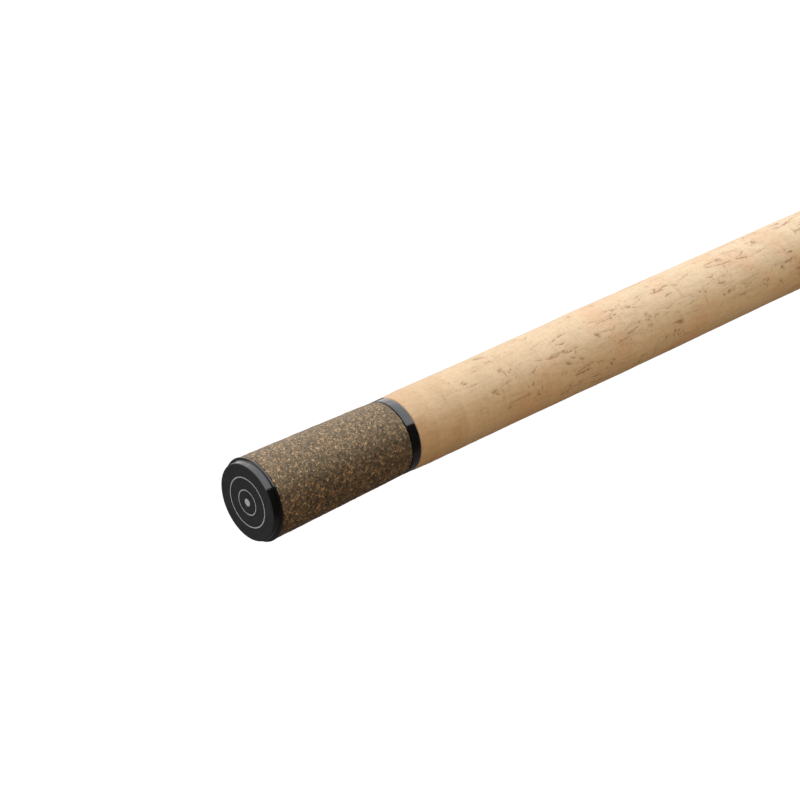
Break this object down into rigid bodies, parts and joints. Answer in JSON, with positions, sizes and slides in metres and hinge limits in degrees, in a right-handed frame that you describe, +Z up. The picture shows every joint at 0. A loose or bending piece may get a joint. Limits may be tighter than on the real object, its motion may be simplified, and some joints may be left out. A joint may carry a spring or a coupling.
{
  "type": "carp rod",
  "caption": "Long carp fishing rod: full cork handle with a composite-cork butt and black end cap, screw reel seat, ringed line guides and a pull-apart ferrule.",
  "frame": {"origin": "centre of the butt cap's flat end face", "axes": "+X along the rod from the butt to the tip, +Z up; the reel seat's land, the reel-foot pockets and the line guides are on the -Z side, as on a rod held ready to fish"},
  "size_m": [3.6657, 0.0498, 0.0803],
  "materials": {
    "cap_black": "satin",
    "composite_cork": "granular, sanded",
    "ring_black": "gloss",
    "natural_cork": "sanded",
    "collar_black": "gloss",
    "seat_body": "satin",
    "arbor": "foam, sanded",
    "hood_steel": "dark brushed",
    "nut_black": "satin",
    "trim_steel": "polished",
    "carbon_blank": "lacquered carbon",
    "spigot_carbon": "ground, unlacquered",
    "whipping": "thread under varnish",
    "guide_frame": "satin black",
    "guide_ceramic": "polished"
  },
  "bodies": {
    "butt_section": {"butt_cap": "cap_black", "butt_grip": "composite_cork", "grip_ring": "ring_black", "rear_grip": "natural_cork", "rear_winding_check": "collar_black", "reel_seat_body": "seat_body", "seat_arbor_1": "arbor", "seat_arbor_2": "arbor", "seat_arbor_3": "arbor", "fixed_hood": "hood_steel", "fore_seat_collar": "collar_black", "fore_grip": "natural_cork", "fore_winding_check": "collar_black", "butt_blank": "carbon_blank", "ferrule_spigot": "spigot_carbon", "ferrule_whipping_butt": "whipping", "guide_1_frame": "guide_frame", "guide_1_insert": "guide_ceramic", "guide_1_front_whipping": "whipping", "guide_1_rear_whipping": "whipping"},
    "tip_section": {"tip_blank": "carbon_blank", "ferrule_whipping_tip": "whipping", "guide_2_frame": "guide_frame", "guide_2_insert": "guide_ceramic", "guide_2_front_whipping": "whipping", "guide_2_rear_whipping": "whipping", "guide_3_frame": "guide_frame", "guide_3_insert": "guide_ceramic", "guide_3_front_whipping": "whipping", "guide_3_rear_whipping": "whipping", "guide_4_frame": "guide_frame", "guide_4_insert": "guide_ceramic", "guide_4_front_whipping": "whipping", "guide_4_rear_whipping": "whipping", "guide_5_frame": "guide_frame", "guide_5_insert": "guide_ceramic", "guide_5_front_whipping": "whipping", "guide_5_rear_whipping": "whipping", "guide_6_frame": "guide_frame", "guide_6_insert": "guide_ceramic", "guide_6_front_whipping": "whipping", "guide_6_rear_whipping": "whipping", "tip_guide_frame": "guide_frame", "tip_guide_insert": "guide_ceramic", "tip_guide_whipping": "whipping"},
    "sliding_hood": {"sliding_hood": "hood_steel"},
    "lock_nut": {"lock_nut": "nut_black", "nut_trim_ring": "trim_steel"}
  },
  "joints": [
    {"name": "ferrule_slide", "type": "slide", "parent": "butt_section", "child": "tip_section", "axis": [1, 0, 0], "range_m": [0, 0.085]},
    {"name": "hood_slide", "type": "slide", "parent": "butt_section", "child": "sliding_hood", "axis": [1, 0, 0], "range_m": [-0.03, 0]},
    {"name": "nut_spin", "type": "hinge", "parent": "sliding_hood", "child": "lock_nut", "pos_m": [0.5719, 0, 0], "axis": [1, 0, 0], "range_deg": [-3930, 0]}
  ],
  "couplings": [
    {"joint": "nut_spin", "follows": "hood_slide", "rad_per_m": 2284.8}
  ]
}
